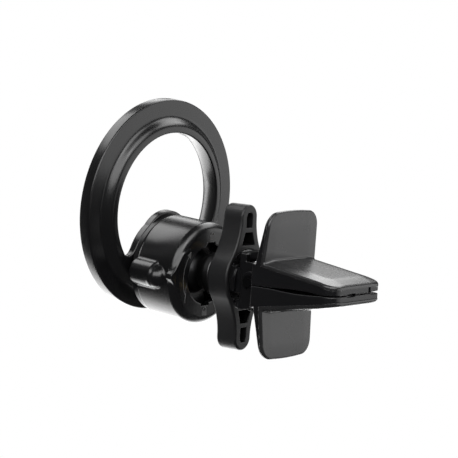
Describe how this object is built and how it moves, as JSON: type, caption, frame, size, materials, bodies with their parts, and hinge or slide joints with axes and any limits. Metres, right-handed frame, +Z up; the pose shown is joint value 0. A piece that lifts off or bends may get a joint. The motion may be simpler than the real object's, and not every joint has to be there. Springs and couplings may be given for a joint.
{
  "type": "car phone mount",
  "caption": "Magnetic phone ring on a lockable ball joint, with a wing-nut clamp whose L-shaped claws grip an air vent blade.",
  "frame": {"origin": "between the closed jaws, on their middle plane, level with the front of the two pads that rest on the vent", "axes": "+Y from the phone ring into the vent, along the jaws; +X across the jaws, along the pivot pin; +Z up"},
  "size_m": [0.06, 0.0743, 0.0673],
  "materials": {
    "satin_black": "satin, faint moulded texture",
    "dark_plastic": "matte moulded",
    "matte_black": "matte, fine spark-eroded texture",
    "silicone": "matte silicone",
    "soft_black": "matte soft-touch rubber",
    "rubber": "matte",
    "steel": "bright",
    "magnet": "nickel plated",
    "dark_steel": "blackened",
    "nylon": "natural nylon",
    "black_metal": "glossy black",
    "brass": "turned"
  },
  "bodies": {
    "clamp": {"ball_stud": "black_metal", "clamp_shank": "dark_plastic", "pivot_pin": "dark_steel", "pin_clips": "dark_steel", "claw_spring": "steel"},
    "washer": {"thrust_washer": "steel"},
    "wing": {"wing_nut": "matte_black", "wing_bush": "brass"},
    "upper_claw": {"upper_claw": "matte_black", "upper_cover": "soft_black", "upper_grip": "rubber"},
    "lower_claw": {"lower_claw": "matte_black", "lower_cover": "soft_black", "lower_grip": "rubber"},
    "ball_yaw": {"front_liner": "nylon"},
    "ball_pitch": {"rear_liner": "nylon"},
    "head": {"ring_housing": "satin_black", "ring_face_plate": "dark_plastic", "face_pad": "silicone", "shunt_ring": "steel", "ring_magnets": "magnet", "base_screws": "dark_steel", "socket_base": "dark_plastic", "grip_ring": "rubber"},
    "nut": {"lock_nut": "satin_black"}
  },
  "joints": [
    {"name": "washer_slide", "type": "slide", "parent": "clamp", "child": "washer", "axis": [0, 1, 0], "range_m": [-0.00126, 0.00001]},
    {"name": "wing_turn", "type": "hinge", "parent": "washer", "child": "wing", "pos_m": [0, -0.0175, 0], "axis": [0, 1, 0], "range_deg": [-360, 0]},
    {"name": "upper_claw_hinge", "type": "hinge", "parent": "clamp", "child": "upper_claw", "pos_m": [0, -0.0076, 0], "axis": [-1, 0, 0], "range_deg": [-12.1, 0.1]},
    {"name": "lower_claw_hinge", "type": "hinge", "parent": "clamp", "child": "lower_claw", "pos_m": [0, -0.0076, 0], "axis": [1, 0, 0], "range_deg": [-12.1, 0.1]},
    {"name": "ball_turn", "type": "hinge", "parent": "clamp", "child": "ball_yaw", "pos_m": [0, -0.035, 0], "axis": [0, 0, 1], "range_deg": [-8, 12]},
    {"name": "ball_tilt", "type": "hinge", "parent": "ball_yaw", "child": "ball_pitch", "pos_m": [0, -0.035, 0], "axis": [0.9995, -0.0332, 0], "range_deg": [-6, 14]},
    {"name": "ball_spin", "type": "hinge", "parent": "ball_pitch", "child": "head", "pos_m": [0, -0.035, 0], "axis": [0.0331, 0.9971, -0.068], "continuous": true},
    {"name": "lock_turn", "type": "hinge", "parent": "head", "child": "nut", "pos_m": [0, -0.035, 0], "axis": [0.0331, 0.9971, -0.068], "range_deg": [-60, 0]}
  ],
  "couplings": [
    {"joint": "washer_slide", "follows": "wing_turn", "m_per_rad": 0.00019894},
    {"joint": "upper_claw_hinge", "follows": "wing_turn", "ratio": 0.033333},
    {"joint": "lower_claw_hinge", "follows": "wing_turn", "ratio": 0.033333}
  ]
}
